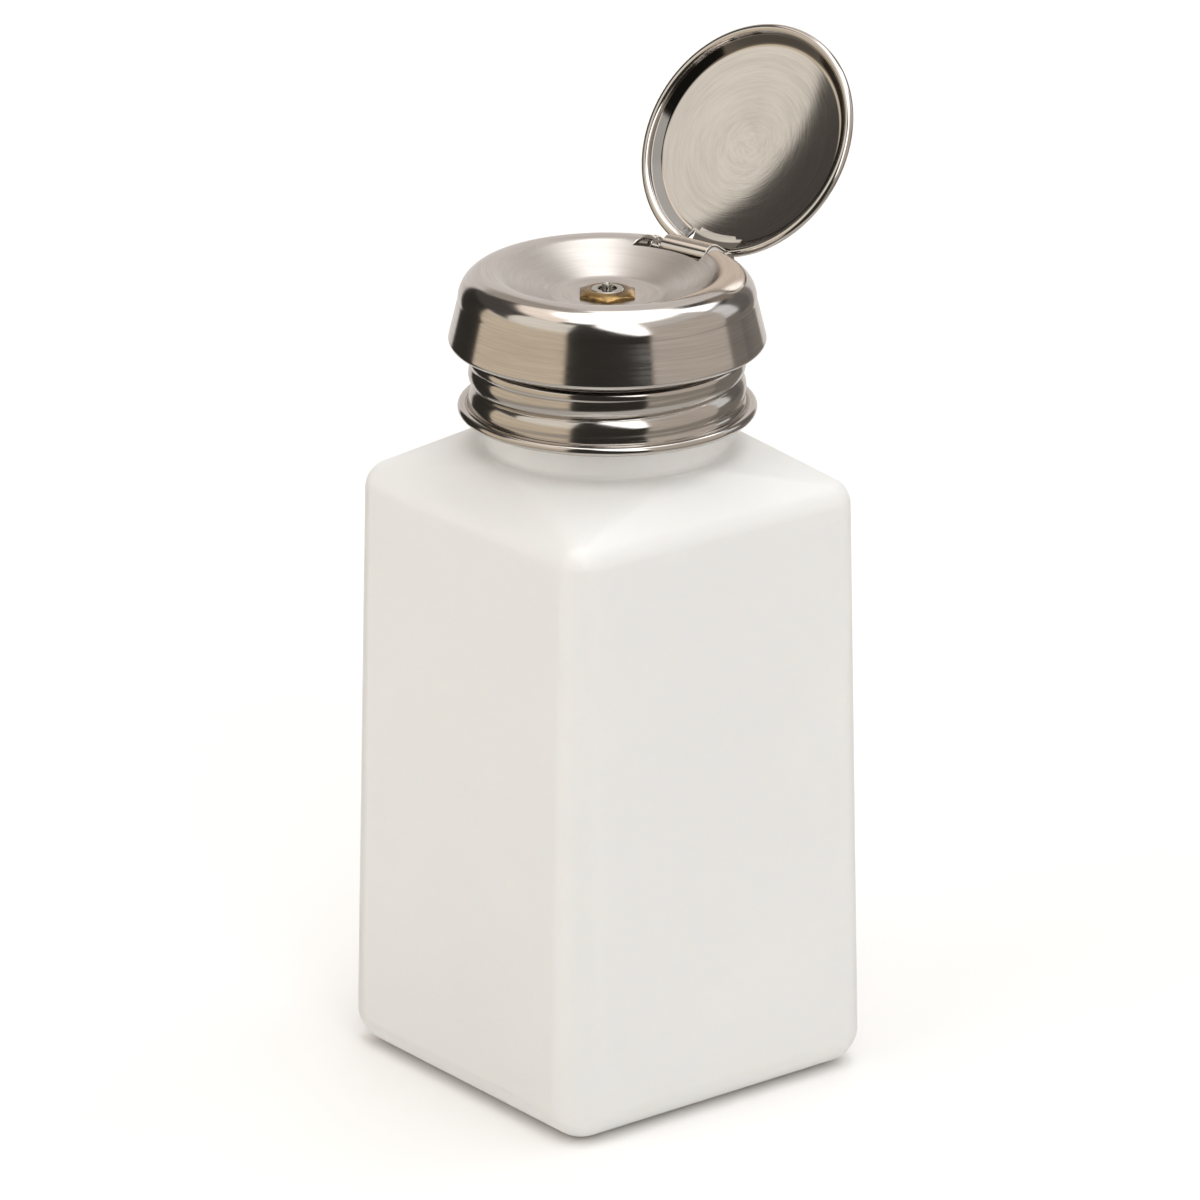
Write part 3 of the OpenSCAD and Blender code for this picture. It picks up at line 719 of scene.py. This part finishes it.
def make_studio():
    """A studio painted on the sky, in degrees round from the camera's side and up from level"""
    world = bpy.data.worlds.new("studio")
    world.use_nodes = True
    bpy.context.scene.world = world
    net = Net(world.node_tree)
    x, y, up = net.parts(net.wire("ShaderNodeTexCoord", {}, {}, "Generated"))
    toward = x * math.sin(CAMERA_AZIMUTH) - y * math.cos(CAMERA_AZIMUTH)
    right = x * math.cos(CAMERA_AZIMUTH) + y * math.sin(CAMERA_AZIMUTH)
    around = right.maths("ARCTAN2", toward) * (180 / math.pi)
    height = up.maths("ARCSINE") * (180 / math.pi)

    # dark front and pale back
    sky = net.mix(1 - around.between(-149, 150, 2), rgb(0.04, 0.037, 0.033), rgb(0.78, 0.74, 0.71))

    # dim right-hand side, with a darker stand and a brown patch above it
    sky = net.mix(around.between(101, 150, 2) * (1 - height.ease(28, 34)), sky, rgb(0.24, 0.22, 0.2))
    sky = net.mix(around.between(120, 141, 2) * height.between(-6, 28, 3), sky, rgb(0.16, 0.15, 0.14))
    sky = net.mix(around.between(133, 152, 2) * height.between(27, 45, 3), sky, rgb(0.28, 0.24, 0.2))

    # left screen, brighter above and dimmer below
    warm = net.mix(height.ease(14, 26), rgb(0.74, 0.64, 0.5), rgb(0.97, 0.93, 0.85))
    warm = net.mix(1 - height.ease(-24, -14), warm, rgb(0.45, 0.41, 0.36))
    sky = net.mix(around.between(-111, -31, 1.5) * (1 - height.ease(48, 54)), sky, warm)

    # dark card behind the left screen, with a curved edge
    bend = (height - 34) * (height - 34) * 0.035
    corner = (around - bend).between(-150, -90.8, 0.8) * height.between(21, 50, 3)
    sky = net.mix(corner, sky, rgb(0.085, 0.077, 0.07))

    # right screen and the light strip beside it
    cool = net.mix(height.ease(36, 44), rgb(0.6, 0.54, 0.48), rgb(0.72, 0.7, 0.67))
    cool = net.mix(1 - height.ease(-18, -8), cool, rgb(0.34, 0.31, 0.27))
    sky = net.mix(around.between(33, 101, 1.5), sky, cool)
    sky = net.mix(around.between(101, 119, 1.5) * height.between(4, 36, 3), sky, rgb(0.85, 0.87, 0.88))

    # white wedge in front, cut by a slanting edge
    slant = (height + around * 1.09).ease(34, 40)
    wedge = slant * around.between(-12, 33, 1.5) * height.ease(9, 14)
    sky = net.mix(wedge, sky, rgb(2.2, 2.2, 2.2))

    # table below
    sky = net.mix(1 - height.ease(-40, -30), sky, rgb(0.62, 0.6, 0.57))

    # white overhead, lower on the right, cream on the left and dimmer at the back
    bright = around.between(103, 130, 2) * height.ease(36, 42)
    sky = net.mix(height.ease(55, 63).maths("MAXIMUM", bright), sky, rgb(2.45, 2.45, 2.45))
    sky = net.mix(around.between(-145, -50, 4) * height.between(51, 68, 2), sky, rgb(1.25, 1.12, 1.0))
    sky = net.mix(around.between(-172, -146, 3) * height.between(30, 70, 3), sky, rgb(0.45, 0.41, 0.37))

    background = net.node("ShaderNodeBackground", {}, {"Color": sky, "Strength": 1.0})
    output = net.node("ShaderNodeOutputWorld", {}, {})
    net.tree.links.new(background.outputs[0], output.inputs[0])


def make_lamp(name, place, size, watts):
    data = bpy.data.lights.new(name, "AREA")
    data.size = size
    data.energy = watts
    lamp = bpy.data.objects.new(name, data)
    lamp.location = place
    lamp.rotation_euler = (Vector((0, 0, 0.06)) - Vector(place)).to_track_quat("-Z", "Y").to_euler()
    lamp.visible_glossy = False
    bpy.context.scene.collection.objects.link(lamp)


make_camera()
make_floor()
make_studio()
make_lamp("left_lamp", (-0.2, -1.3, 1.0), 0.9, 1.6)
bpy.context.scene.view_settings.view_transform = "Standard"

make_bottle()
make_collar()
make_dish()
make_ears()
make_nut()
make_sleeve()
make_lid()

for node, finish in {
    "neck_gasket": gasket_rubber,
    "pump_body": pump_plastic,
    "gland_nut": pump_plastic,
    "gland_seal": seal_rubber,
    "foot_ball": inner_steel,
    "ball_cage": pump_plastic,
    "dip_tube": tube_plastic,
    "return_spring": inner_steel,
    "stem": inner_steel,
    "piston": piston_plastic,
    "piston_seal": seal_rubber,
    "discharge_ball": inner_steel,
    "ball_stop_pin": inner_steel,
    "dish_washer": piston_plastic,
    "hinge_pin": pin_steel,
}.items():
    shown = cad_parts[node]
    shown.data.materials.clear()
    shown.data.materials.append(finish)
